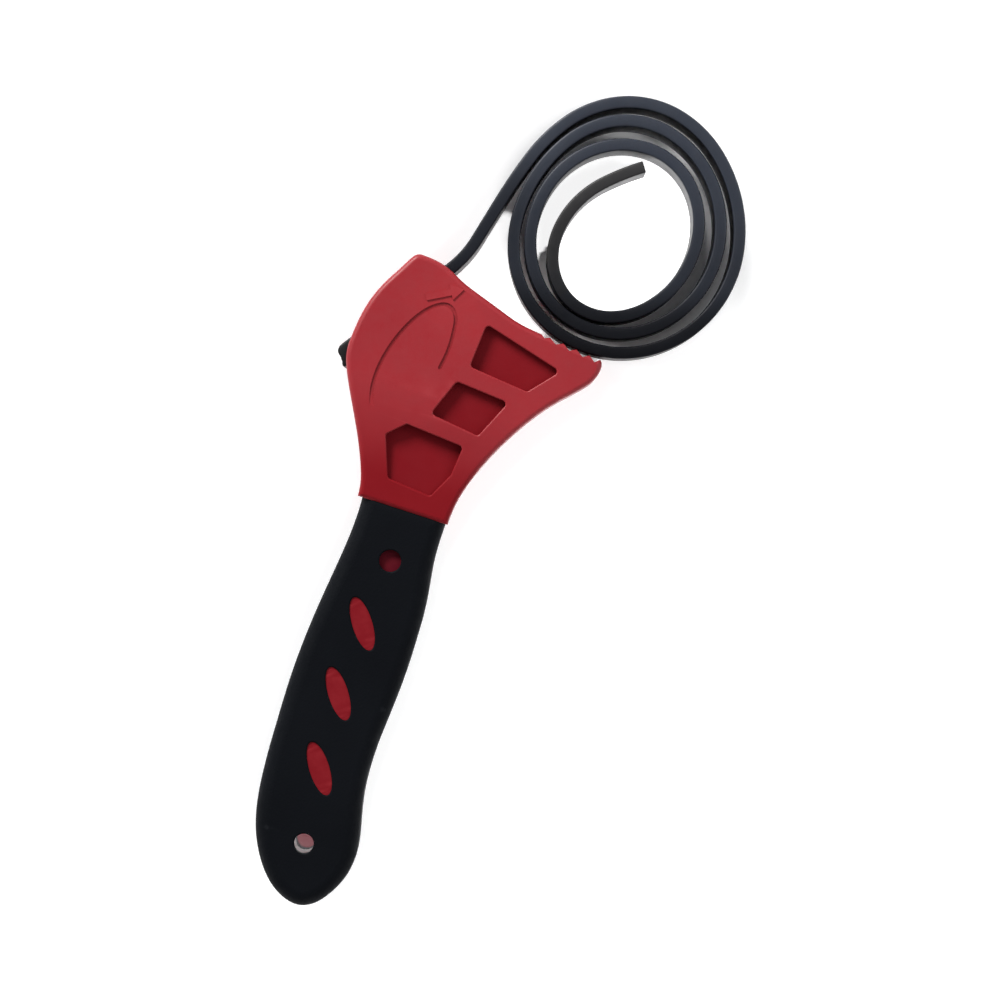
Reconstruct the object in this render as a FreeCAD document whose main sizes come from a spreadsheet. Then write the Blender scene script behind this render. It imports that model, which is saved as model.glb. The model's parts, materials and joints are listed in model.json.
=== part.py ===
import FreeCAD, Part
import math
import os
import Sketcher

# Strap wrench for oil filters: a one-piece moulded head with a long tang, a soft
# sleeve over the tang as the grip, and a flat rubber strap whose thick end is
# anchored in the head.  The strap's free length lies coiled beyond the head.
#
# Millimetres and degrees.  The origin is the centre of the hang hole at the middle
# of the handle's thickness.  +Y runs up the handle to the head, +X points to the
# toothed nose, +Z is up when the wrench lies on its back.

V = FreeCAD.Vector
Constraint = Sketcher.Constraint

# ---------------------------------------------------------------- driving sizes
# (alias, value, note)
DIMENSIONS = [
    ("head_thick", 22.0, "thickness of the head block"),
    ("head_low_half", 7.55, "half thickness of the head at the collar"),
    ("slope_top_y", 104.5, "where the flat face starts to slope down to the collar"),
    ("collar_y", 80.9, "collar line between head and grip"),
    ("slope_blend", 50.0, "radius where the flat face rolls into the slope"),
    ("slope_past", 3.0, "how far the slope cut runs past the collar"),
    ("slope_over", 2.0, "how far the slope cut stands above the flat face"),
    ("head_round", 1.2, "edge rounding of the head"),
    ("peak_x", -16.3, "centre of the rounded peak, x"),
    ("peak_y", 137.1, "centre of the rounded peak, y"),
    ("peak_round", 1.6, "radius of the peak"),
    ("nose_x", 30.1, "centre of the rounded nose, x"),
    ("nose_y", 126.9, "centre of the rounded nose, y"),
    ("nose_round", 1.55, "radius of the nose"),
    ("tang_thick", 9.0, "thickness of the tang inside the grip"),
    ("grip_thick", 14.0, "thickness of the grip"),
    ("grip_round", 3.4, "edge rounding of the grip"),
    ("window_recess", 0.4, "how far the oval bosses lie below the grip face"),
    ("oval_len", 12.9, "length of an oval window"),
    ("oval_wide", 4.7, "width of an oval window"),
    ("oval_tilt", 125.0, "direction of the ovals from +X"),
    ("oval_one_x", -2.87, "upper oval, x"),
    ("oval_one_y", 52.85, "upper oval, y"),
    ("oval_two_x", -3.15, "middle oval, x"),
    ("oval_two_y", 35.65, "middle oval, y"),
    ("oval_three_x", -1.96, "lower oval, x"),
    ("oval_three_y", 17.7, "lower oval, y"),
    ("round_dia", 5.1, "diameter of the round window"),
    ("round_x", -1.21, "round window, x"),
    ("round_y", 68.79, "round window, y"),
    ("round_recess", 1.8, "depth of the round window"),
    ("hang_dia", 4.6, "diameter of the hang hole"),
    ("window_rim", 0.35, "edge rounding of the grip's windows and hang hole"),
    ("pocket_depth", 2.5, "depth of the two upper head pockets"),
    ("low_pocket_depth", 3.7, "depth of the lower head pocket, below the flat face"),
    ("pocket_corner", 0.9, "corner radius of the head pockets"),
    ("pocket_rim", 0.35, "edge rounding of the pockets' rims"),
    ("groove_deep", 0.4, "depth of the curved guide line"),
    ("groove_wide", 0.9, "width of the curved guide line"),
    ("arrow_high", 0.35, "height of the raised arrow"),
    ("arrow_sink", 0.2, "how far the arrow starts below the face"),
    ("arrow_shaft_half", 0.75, "half width of the arrow's shaft"),
    ("arrow_head_half", 1.9, "half width of the arrow's head"),
    ("arrow_head_len", 3.0, "length of the arrow's head"),
    ("strap_thick", 2.8, "strap thickness"),
    ("strap_wide", 16.5, "strap width"),
    ("strap_dir", 56.0, "direction of the strap in the head, from +X"),
    ("pivot_one_x", -8.62, "mouth, where the strap leaves the head, x"),
    ("pivot_one_y", 138.15, "mouth, y"),
    ("hinge_gap", 0.06, "radial clearance in the strap's bending joints"),
    ("root_len", 31.6, "anchor reference to the mouth"),
    ("bulb_up", 1.75, "upper half thickness of the anchor"),
    ("bulb_low", 2.9, "lower half thickness of the anchor, at its barb"),
    ("bulb_end", -1.5, "outer end of the anchor along the strap"),
    ("bulb_up_end", 3.2, "where the anchor's upper side narrows"),
    ("bulb_bevel_long", 1.4, "bevel of the anchor's upper end, along the strap"),
    ("bulb_bevel_high", 1.0, "the same bevel, across the strap"),
    ("barb_end", -2.5, "outer end of the barb"),
    ("barb_bevel", 0.5, "bevel of the barb's outer end"),
    ("barb_shoulder", -0.2, "where the barb starts to narrow"),
    ("barb_slope", 1.5, "length of the barb's front slope"),
    ("slot_clear", 0.25, "gap each side of the strap in the head"),
    ("slot_high", 17.2, "height of the strap passage"),
    ("slot_start", -12.0, "outer end of the passage cut, from the anchor reference"),
    ("slot_past", 7.0, "how far the passage cut runs past the mouth"),
    ("pull_travel", 2.5, "how far the bulb travels before it is home"),
    ("seat_spare", 0.1, "extra length of the anchor's seat"),
    ("flare_before", 2.4, "where the passage starts to flare, before the mouth"),
    ("flare_after", 1.2, "where the flare ends, after the mouth"),
    ("flare_rise", 1.1, "rise of the flare"),
]

# Strap, from the mouth to the free tail:
# (length along the centre line, turn in degrees, clockwise positive).
LINKS = [
    (8.69, -20.51), (11.61, 0.5), (11.50, 5.20), (11.54, 17.34), (10.40, 23.16),
    (9.71, 24.04), (9.35, 23.13), (10.44, 22.38), (11.56, 19.20), (11.55, 19.72),
    (11.24, 22.79), (11.05, 23.25), (11.11, 23.26), (10.45, 22.76), (10.25, 22.94),
    (10.21, 23.33), (9.90, 23.32), (10.34, 23.22), (11.50, 20.88), (11.53, 19.38),
    (9.18, 22.37), (7.53, 22.15), (8.75, 24.50), (9.41, 23.01), (10.25, 22.70),
    (10.70, 23.17), (10.15, 22.86), (9.85, 22.93), (9.56, 23.27), (8.70, 23.08),
    (8.05, 22.88), (8.25, 23.69), (8.24, 22.50), (9.51, 23.13), (10.01, 23.57),
    (8.49, 22.05), (8.25, 23.08), (7.91, 24.08), (6.79, 22.73), (6.59, 22.31),
    (7.75, 23.81), (8.75, 23.46), (8.75, 21.40), (9.53, 23.85), (7.46, 23.98),
    (5.53, 22.41), (4.89, 21.78), (5.56, 24.21), (6.27, 24.88), (6.45, 22.32),
    (7.90, 21.15), (7.70, 18.92), (10.10, 9.60),
]

# Outline stations (x, y).
OUTLINES = {
    # Head, clockwise: collar to peak, peak to nose, nose to collar.
    "head_left": [
        (-13.1, 80.9), (-13.45, 84), (-14.3, 87), (-15.5, 90), (-18.3, 96), (-21.5, 102),
        (-24.3, 107.7), (-25.35, 110.2), (-25.85, 113.0), (-25.8, 116), (-25.4, 120),
        (-24.85, 123.3), (-24.05, 126.1), (-22.8, 129), (-21.2, 132), (-19.4, 135.1)],
    "head_top": [
        (-13.5, 138.62), (-11.0, 138.2), (-8.6, 137.4), (-6.3, 136.2), (-4.2, 135.2),
        (-0.42, 133.95), (3.62, 132.65), (7.0, 131.5), (10.8, 130.45), (13.4, 130.05),
        (15.6, 129.9), (18.1, 129.65), (21.5, 129.3), (24.8, 128.95), (28.1, 128.6)],
    "head_right": [
        (31.5, 125.2), (30.7, 123), (28.4, 120), (25.4, 117), (22.7, 114), (20.4, 111),
        (18.4, 108), (16.6, 105), (15.0, 102), (13.5, 99), (12.2, 96), (11.1, 93),
        (10.15, 90), (9.45, 87), (9.0, 84), (8.85, 80.9)],
    # Polygon cut away along the nose; its lower side makes the teeth.
    "teeth_cut": [
        (15.7, 130.6), (15.9, 129.85), (16.95, 129.05), (18.1, 129.55), (19.9, 128.5),
        (21.5, 129.22), (23.3, 128.05), (24.8, 128.85), (26.6, 127.65), (28.1, 128.45),
        (29.7, 127.3), (30.75, 128.3), (32.5, 131.0), (15.7, 131.6)],
    # Head pockets before their corners are rounded, from the top one down.
    "pocket_one": [(3.29, 127.95), (22.81, 122.8), (16.95, 116.0), (2.55, 117.44)],
    "pocket_two": [(0.75, 113.19), (13.53, 112.21), (9.27, 102.75), (-2.7, 104.24)],
    "pocket_three": [
        (-7.29, 100.31), (6.75, 99.24), (6.1, 92.19), (2.97, 86.04), (-7.61, 87.0),
        (-11.21, 96.59)],
    # Centre line of the curved guide line.
    "groove": [
        (-14.9, 99.7), (-17.1, 103.9), (-17.7, 108.9), (-16.9, 114.8), (-14.5, 121.6),
        (-12.0, 125.8), (-9.1, 128.6), (-6.6, 129.4), (-4.6, 128.1), (-3.6, 124.6),
        (-3.4, 120.0), (-4.0, 115.1)],
    # Both ends of the arrow's shaft.
    "arrow": [(-12.1, 129.6), (-6.9, 132.5)],
    # Grip and tang, clockwise from the +X side of their upper end.
    "grip": [
        (8.35, 80.9), (8.3, 77), (8.5, 72), (9.3, 66), (10.0, 60), (10.25, 54), (10.35, 48),
        (10.15, 40.5), (9.65, 33), (9.25, 27), (9.2, 22), (9.5, 17), (10.4, 11.5), (11.7, 6),
        (12.4, 0.5), (11.9, -3.7), (10.5, -7.4), (8.3, -10.9), (5.6, -13.4), (2.6, -14.3),
        (-0.6, -13.7), (-3.9, -11.9), (-7.0, -8.9), (-9.9, -4.6), (-12.05, 0.2), (-13.5, 6),
        (-14.35, 13), (-14.75, 20), (-14.95, 27), (-15.1, 35), (-14.9, 42.5), (-14.4, 50),
        (-13.7, 57), (-13.0, 63), (-12.3, 69.5), (-11.95, 75), (-12.05, 80.9)],
    "tang": [
        (6.4, 83.5), (6.3, 76), (6.8, 68), (7.6, 58), (7.9, 48), (7.5, 37), (6.9, 27),
        (7.1, 18), (8.1, 10), (9.5, 3), (9.1, -3.5), (6.6, -8.6), (2.6, -11.4), (-2.4, -9.9),
        (-6.9, -5.3), (-10.0, 1.0), (-11.7, 10), (-12.3, 21), (-12.6, 34), (-12.1, 46),
        (-11.2, 57), (-10.1, 67), (-9.6, 76), (-9.7, 83.5)],
}
UPPER_POCKETS = ("pocket_one", "pocket_two")
LOW_POCKET = "pocket_three"

# ---------------------------------------------------------------- spreadsheet
doc = FreeCAD.newDocument("StrapWrench")
sheet = doc.addObject("Spreadsheet::Sheet", "Params")
next_row = 1


def cell(alias, value, note=""):
    """Write one value on the next row of the sheet."""
    global next_row
    sheet.set("A%d" % next_row, note or alias.replace("_", " "))
    sheet.set("B%d" % next_row, repr(round(float(value), 6)))
    sheet.setAlias("B%d" % next_row, alias)
    next_row += 1


def val(alias):
    return float(sheet.get(alias))


def stations(name):
    """The points of an outline, read back from the sheet."""
    return [V(val("%s_x_%02d" % (name, i)), val("%s_y_%02d" % (name, i)), 0)
            for i in range(1, len(OUTLINES[name]) + 1)]


def write_links():
    """Work out each strap piece's bend and pivot along the chain."""
    x, y, direction = val("pivot_one_x"), val("pivot_one_y"), val("strap_dir")
    for i, (length, turn) in enumerate(LINKS, 1):
        radius = length / math.radians(abs(turn))
        cell("bend_radius_%02d" % i, radius, "strap piece %d: centre line radius" % i)
        cell("bend_turn_%02d" % i, turn, "strap piece %d: turn" % i)
        cell("pivot_x_%02d" % i, x)
        cell("pivot_y_%02d" % i, y)
        cell("pivot_dir_%02d" % i, direction)
        chord = 2 * radius * math.sin(math.radians(abs(turn)) / 2)
        chord_angle = math.radians(direction - turn / 2)
        x += chord * math.cos(chord_angle)
        y += chord * math.sin(chord_angle)
        direction -= turn


for alias, value, note in DIMENSIONS:
    cell(alias, value, note)
doc.recompute()
write_links()
for name, points in OUTLINES.items():
    for i, (x, y) in enumerate(points, 1):
        cell("%s_x_%02d" % (name, i), x)
        cell("%s_y_%02d" % (name, i), y)
doc.recompute()


# ---------------------------------------------------------------- document helpers
def check(obj):
    if "Invalid" in obj.State or "Error" in obj.State:
        raise RuntimeError("%s: %s" % (obj.Name, obj.State))


def plane(body, role="XY_Plane"):
    for feature in body.Origin.OriginFeatures:
        if feature.Role == role:
            return feature


def new_body(name):
    body = doc.addObject("PartDesign::Body", name)
    body.Label = name
    return body


def new_sketch(body, name, role="XY_Plane", lift=None):
    """Add a sketch on an origin plane, raised by the expression lift."""
    sketch = body.newObject("Sketcher::SketchObject", name)
    sketch.AttachmentSupport = [(plane(body, role), "")]
    sketch.MapMode = "FlatFace"
    if lift:
        sketch.setExpression("AttachmentOffset.Base.z", lift)
    return sketch


def extrude(body, kind, sketch, name, length=None, symmetric=True):
    """Pad or pocket a sketch, through everything without a length.

    Raises an error unless the volume changes the right way.
    """
    before = 0.0 if body.Shape.isNull() else body.Shape.Volume
    feature = body.newObject("PartDesign::" + kind, name)
    feature.Profile = sketch
    feature.SideType = "Symmetric" if symmetric else "One side"
    if length is None:
        feature.Type = "ThroughAll"
    else:
        feature.setExpression("Length", length)
    doc.recompute()
    change = body.Shape.Volume - before
    if (change if kind == "Pad" else -change) <= 1e-3:
        raise RuntimeError(name + " does not change the body")
    return feature


def round_edges(body, name, wanted, radius):
    """Fillet the edges of the body's tip that pass the test wanted."""
    base = body.Tip
    edges = ["Edge%d" % i for i, edge in enumerate(base.Shape.Edges, 1) if wanted(edge)]
    feature = body.newObject("PartDesign::Fillet", name)
    feature.Base = (base, edges)
    feature.setExpression("Radius", "Params." + radius)
    doc.recompute()
    check(feature)


def place(body, x, y, angle):
    """Bind a body's position and its turn about Z to the sheet."""
    body.setExpression("Placement.Base.x", "Params." + x)
    body.setExpression("Placement.Base.y", "Params." + y)
    body.setExpression("Placement.Rotation.Angle", "Params." + angle)


def edge_middle(edge):
    start, end = edge.ParameterRange
    return edge.valueAt((start + end) / 2)


def edge_ends(edge):
    return [edge.valueAt(t) for t in edge.ParameterRange]


# ---------------------------------------------------------------- sketch helpers
def add_curves(sketch, curves):
    for curve in curves:
        sketch.addGeometry(curve, False)


def bind(sketch, constraint, expression):
    index = sketch.addConstraint(constraint)
    sketch.setExpression("Constraints[%d]" % index, expression)


def heading(degrees):
    return V(math.cos(math.radians(degrees)), math.sin(math.radians(degrees)), 0)


def spline(points):
    curve = Part.BSplineCurve()
    curve.interpolate(points)
    return curve


def polyline(points):
    return [Part.LineSegment(p, q) for p, q in zip(points, points[1:])]


def polygon(points):
    return polyline(points + points[:1])


def closed_spline(points):
    """A spline whose ends are joined by a straight line."""
    return [spline(points), Part.LineSegment(points[-1], points[0])]


def rounded_polygon(points, radius):
    """Lines and arcs of a polygon whose corners are rounded."""
    count = len(points)
    arcs = []
    for i, point in enumerate(points):
        back = points[i - 1] - point
        ahead = points[(i + 1) % count] - point
        back.normalize()
        ahead.normalize()
        half_angle = back.getAngle(ahead) / 2
        setback = radius / math.tan(half_angle)
        inward = back + ahead
        inward.normalize()
        centre = point + inward * (radius / math.sin(half_angle))
        arcs.append((point + back * setback, centre - inward * radius,
                     point + ahead * setback))
    curves = []
    for i, arc in enumerate(arcs):
        curves.append(Part.Arc(*arc))
        curves.append(Part.LineSegment(arc[2], arcs[(i + 1) % count][0]))
    return curves


def add_ovals(sketch):
    """The three oval windows, as ellipses whose axes follow the sheet."""
    length, width = val("oval_len"), val("oval_wide")
    along, across = heading(val("oval_tilt")), heading(val("oval_tilt") + 90)
    for name in ("one", "two", "three"):
        centre = V(val("oval_%s_x" % name), val("oval_%s_y" % name), 0)
        ellipse = sketch.addGeometry(
            Part.Ellipse(centre + along * length / 2, centre + across * width / 2, centre),
            False)
        sketch.exposeInternalGeometry(ellipse)
        # The exposed major and minor axes follow the ellipse in the geometry list.
        bind(sketch, Constraint("Distance", ellipse + 1, length), "Params.oval_len")
        bind(sketch, Constraint("Distance", ellipse + 2, width), "Params.oval_wide")


def add_circle(sketch, name, at_origin=False):
    """A circle of diameter NAME_dia, at NAME_x, NAME_y or at the origin."""
    radius = val(name + "_dia") / 2
    centre = V(0, 0, 0) if at_origin else V(val(name + "_x"), val(name + "_y"), 0)
    circle = sketch.addGeometry(Part.Circle(centre, V(0, 0, 1), radius), False)
    bind(sketch, Constraint("Radius", circle, radius), "Params.%s_dia / 2" % name)
    if at_origin:
        sketch.addConstraint(Constraint("Coincident", circle, 3, -1, 1))
        return
    bind(sketch, Constraint("DistanceX", -1, 1, circle, 3, centre.x), "Params.%s_x" % name)
    bind(sketch, Constraint("DistanceY", -1, 1, circle, 3, centre.y), "Params.%s_y" % name)


def cut_hang_hole(body, sketch_name):
    sketch = new_sketch(body, sketch_name)
    add_circle(sketch, "hang", at_origin=True)
    extrude(body, "Pocket", sketch, sketch_name + "Cut")


# ---------------------------------------------------------------- head_core
# The stiff moulding: head block, tang, bosses that fill the grip's windows.
def corner(name, start, end, steps):
    """Stations of a rounded corner, clockwise from heading start to heading end."""
    centre = V(val(name + "_x"), val(name + "_y"), 0)
    radius = val(name + "_round")
    return [centre + heading(start + (end - start) * i / steps + 90) * radius
            for i in range(steps + 1)]


def pad_head_block(head):
    """One smooth line of tangent arcs round peak and nose, closed at the collar."""
    sketch = new_sketch(head, "HeadOutline")
    left, right = stations("head_left"), stations("head_right")
    flow = (left + corner("peak", start=51.7, end=0, steps=4) + stations("head_top")
            + corner("nose", start=-13, end=-94, steps=6) + right)
    add_curves(sketch, spline(flow).toBiArcs(0.1))
    add_curves(sketch, [Part.LineSegment(right[-1], left[0])])
    extrude(head, "Pad", sketch, "HeadBlock", length="Params.head_thick")


def cut_face_slopes(head):
    """Slope both faces down towards the collar; sketch x is Y, sketch y is Z."""
    sketch = new_sketch(head, "FaceSlope", role="YZ_Plane")
    top_y, end_y = val("slope_top_y"), val("collar_y") - val("slope_past")
    face_z = val("head_thick") / 2
    over_z = face_z + val("slope_over")
    fall = (face_z - val("head_low_half")) / (top_y - val("collar_y"))
    end_z = face_z - fall * (top_y - end_y)
    lean = math.atan(fall)
    blend = val("slope_blend")
    run = blend * math.tan(lean / 2)
    flat_y = top_y + run
    for side in (1, -1):
        blend_start = V(flat_y, side * face_z, 0)
        blend_end = V(top_y - run * math.cos(lean), side * (face_z - run * math.sin(lean)), 0)
        blend_centre = V(flat_y, side * (face_z - blend), 0)
        blend_mid = blend_centre + V(-math.sin(lean / 2), side * math.cos(lean / 2), 0) * blend
        add_curves(sketch, [Part.Arc(blend_start, blend_mid, blend_end)])
        add_curves(sketch, polyline([
            blend_end, V(end_y, side * end_z, 0), V(end_y, side * over_z, 0),
            V(flat_y, side * over_z, 0), blend_start]))
    extrude(head, "Pocket", sketch, "FaceSlopeCut")


def is_outer_edge(edge):
    """An edge round the head's faces, but no upright one."""
    start, end = edge_ends(edge)
    if abs(edge_middle(edge).z) < val("head_low_half") - 0.3 or abs(start.z - end.z) > 6:
        return False
    # Leave out the lines across the face at both ends of the rolled slope.
    across_face = abs(start.x - end.x) > 15 and abs(start.y - end.y) < 0.05
    return not (across_face and start.y > val("collar_y") + 4)


def pad_tang_and_bosses(head):
    sketch = new_sketch(head, "TangOutline")
    add_curves(sketch, closed_spline(stations("tang")))
    extrude(head, "Pad", sketch, "Tang", length="Params.tang_thick")

    sketch = new_sketch(head, "OvalBosses")
    add_ovals(sketch)
    extrude(head, "Pad", sketch, "OvalBossPads",
            length="Params.grip_thick - 2 * Params.window_recess")

    sketch = new_sketch(head, "RoundBoss")
    add_circle(sketch, "round")
    extrude(head, "Pad", sketch, "RoundBossPad",
            length="Params.grip_thick - 2 * Params.round_recess")


def is_pocket_rim(edge):
    """An edge where a pocket's wall meets the head's outer face."""
    middle = edge_middle(edge)
    start, end = edge_ends(edge)
    upright = abs(start.x - end.x) < 0.01 and abs(start.y - end.y) < 0.01
    across_face = abs(start.y - end.y) < 0.02 and abs(start.x - end.x) > 3
    if upright or across_face:
        return False
    lowest = min(abs(p.z) for p in (start, end, middle))
    flat_middle = V(middle.x, middle.y, 0)
    for name in UPPER_POCKETS + (LOW_POCKET,):
        depth = val("low_pocket_depth" if name == LOW_POCKET else "pocket_depth")
        if lowest < val("head_thick") / 2 - depth + 0.3:
            continue
        points = stations(name)
        for i, point in enumerate(points):
            # Distance of the edge's middle from this side of the pocket.
            origin = points[i - 1]
            side = point - origin
            t = max(0.0, min(1.0, (flat_middle - origin).dot(side) / side.dot(side)))
            if (flat_middle - origin - side * t).Length < 0.75:
                return True
    return False


def cut_pockets(head):
    """Three shallow pockets, the same on both faces."""
    cuts = []
    for sketch_name, outlines, cut_name, depth in (
            ("PocketOutlines", UPPER_POCKETS, "FacePockets", "pocket_depth"),
            ("LowPocketOutline", (LOW_POCKET,), "LowFacePocket", "low_pocket_depth")):
        sketch = new_sketch(head, sketch_name, lift="Params.head_thick / 2")
        for outline in outlines:
            add_curves(sketch, rounded_polygon(stations(outline), val("pocket_corner")))
        cuts.append(extrude(head, "Pocket", sketch, cut_name, length="Params." + depth,
                            symmetric=False))
    before = head.Shape.Volume
    mirrored = head.newObject("PartDesign::Mirrored", "BackPockets")
    mirrored.Originals = cuts
    mirrored.MirrorPlane = (plane(head), [""])
    head.Tip = mirrored
    doc.recompute()
    if not head.Shape.Volume < before - 1:
        raise RuntimeError("the pockets were not mirrored")
    round_edges(head, "PocketRims", is_pocket_rim, "pocket_rim")


def on_strap(a, b):
    """A point in the head: a along the strap from the anchor reference, b across it."""
    mouth = V(val("pivot_one_x"), val("pivot_one_y"), 0)
    return (mouth + heading(val("strap_dir")) * (a - val("root_len"))
            + heading(val("strap_dir") + 90) * b)


def cut_strap_passage(head):
    """Passage for the strap, with a wider seat for the anchor at the -X edge."""
    gap = val("slot_clear")
    half = val("strap_thick") / 2 + gap
    seat_up, seat_low = val("bulb_up") + gap, val("bulb_low") + gap
    travel = val("pull_travel") + val("seat_spare")
    up_end, low_end = val("bulb_up_end") + travel, val("barb_shoulder") + travel
    start, mouth = val("slot_start"), val("root_len")
    end = mouth + val("slot_past")
    flare = half + val("flare_rise")
    profile = [
        (start, seat_up), (up_end, seat_up), (up_end + seat_up - half, half),
        (mouth - val("flare_before"), half), (mouth + val("flare_after"), flare),
        (end, flare), (end, -half), (low_end + val("barb_slope"), -half),
        (low_end, -seat_low), (start, -seat_low)]
    sketch = new_sketch(head, "StrapPassage")
    add_curves(sketch, polygon([on_strap(a, b) for a, b in profile]))
    extrude(head, "Pocket", sketch, "StrapPassageCut", length="Params.slot_high")


def cut_teeth(head):
    sketch = new_sketch(head, "TeethProfile")
    add_curves(sketch, polygon(stations("teeth_cut")))
    extrude(head, "Pocket", sketch, "Teeth")


def cut_guide_line(head):
    """Curved groove with round ends on the +Z face."""
    sketch = new_sketch(head, "GuideLine", lift="Params.head_thick / 2")
    line = spline(stations("groove"))
    half = val("groove_wide") / 2
    first, last = line.FirstParameter, line.LastParameter
    side_steps = 28
    left, right = [], []
    for i in range(side_steps + 1):
        t = first + (last - first) * i / side_steps
        point = line.value(t)
        tangent = line.tangent(t)[0]
        normal = V(-tangent.y, tangent.x, 0)
        left.append(point + normal * half)
        right.append(point - normal * half)
    start_cap = line.value(first) - line.tangent(first)[0] * half
    end_cap = line.value(last) + line.tangent(last)[0] * half
    add_curves(sketch, [
        spline(left), Part.Arc(left[-1], end_cap, right[-1]),
        spline(right[::-1]), Part.Arc(right[0], start_cap, left[0])])
    extrude(head, "Pocket", sketch, "GuideLineCut", length="Params.groove_deep",
            symmetric=False)


def pad_arrow(head):
    """Small raised arrow on the +Z face."""
    sketch = new_sketch(head, "FeedArrow", lift="Params.head_thick / 2 - Params.arrow_sink")
    tail, neck = stations("arrow")
    along = neck - tail
    along.normalize()
    across = V(-along.y, along.x, 0)
    shaft = across * val("arrow_shaft_half")
    barb = across * val("arrow_head_half")
    add_curves(sketch, polygon([
        tail + shaft, neck + shaft, neck + barb, neck + along * val("arrow_head_len"),
        neck - barb, neck - shaft, tail - shaft]))
    extrude(head, "Pad", sketch, "FeedArrowPad",
            length="Params.arrow_high + Params.arrow_sink", symmetric=False)


def build_head():
    head = new_body("head_core")
    pad_head_block(head)
    cut_face_slopes(head)
    round_edges(head, "HeadRound", is_outer_edge, "head_round")
    pad_tang_and_bosses(head)
    cut_pockets(head)
    cut_strap_passage(head)
    cut_teeth(head)
    cut_guide_line(head)
    pad_arrow(head)
    cut_hang_hole(head, "HangHole")
    return head


# ---------------------------------------------------------------- grip_sleeve
def on_grip_face(edge):
    return abs(abs(edge_middle(edge).z) - val("grip_thick") / 2) < 0.01


def build_sleeve(head):
    """The grip with its windows, less the head and tang inside it."""
    grip = new_body("grip_outer")
    sketch = new_sketch(grip, "GripOutline")
    add_curves(sketch, closed_spline(stations("grip")))
    extrude(grip, "Pad", sketch, "GripBlock", length="Params.grip_thick")
    # Only the long outline is rounded, not the straight edge at the collar.
    round_edges(grip, "GripRound", lambda e: on_grip_face(e) and e.Length > 30, "grip_round")

    sketch = new_sketch(grip, "Windows")
    add_ovals(sketch)
    add_circle(sketch, "round")
    extrude(grip, "Pocket", sketch, "WindowCuts")
    cut_hang_hole(grip, "GripHangHole")
    round_edges(grip, "WindowRims",
                lambda e: on_grip_face(e) and e.isClosed() and e.Length < 60, "window_rim")

    sleeve = doc.addObject("Part::Cut", "grip_sleeve")
    sleeve.Base = grip
    sleeve.Tool = head
    sleeve.Label = "grip_sleeve"
    doc.recompute()
    return sleeve


# ---------------------------------------------------------------- strap_root
def build_root():
    """The anchor and the straight run through the head; its origin is the mouth."""
    root = new_body("strap_root")
    sketch = new_sketch(root, "RootProfile")
    half = val("strap_thick") / 2
    up, low = val("bulb_up"), val("bulb_low")
    bulb_end, up_end = val("bulb_end"), val("bulb_up_end")
    barb_end, bevel = val("barb_end"), val("barb_bevel")
    shoulder, mouth = val("barb_shoulder"), val("root_len")
    # (along the strap from the anchor reference, across it)
    path = [
        (mouth, -half), (shoulder + val("barb_slope"), -half), (shoulder, -low),
        (barb_end + bevel, -low), (barb_end, -low + bevel), (bulb_end, -half),
        (bulb_end, up - val("bulb_bevel_high")), (bulb_end + val("bulb_bevel_long"), up),
        (up_end, up), (up_end + up - half, half), (mouth, half)]
    add_curves(sketch, polyline([V(a - mouth, b, 0) for a, b in path]))
    nose = Part.Circle(V(0, 0, 0), V(0, 0, 1), half)
    add_curves(sketch, [Part.ArcOfCircle(nose, -math.pi / 2, math.pi / 2)])
    extrude(root, "Pad", sketch, "RootPad", length="Params.strap_wide")
    place(root, "pivot_one_x", "pivot_one_y", "strap_dir")
    return root


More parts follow.
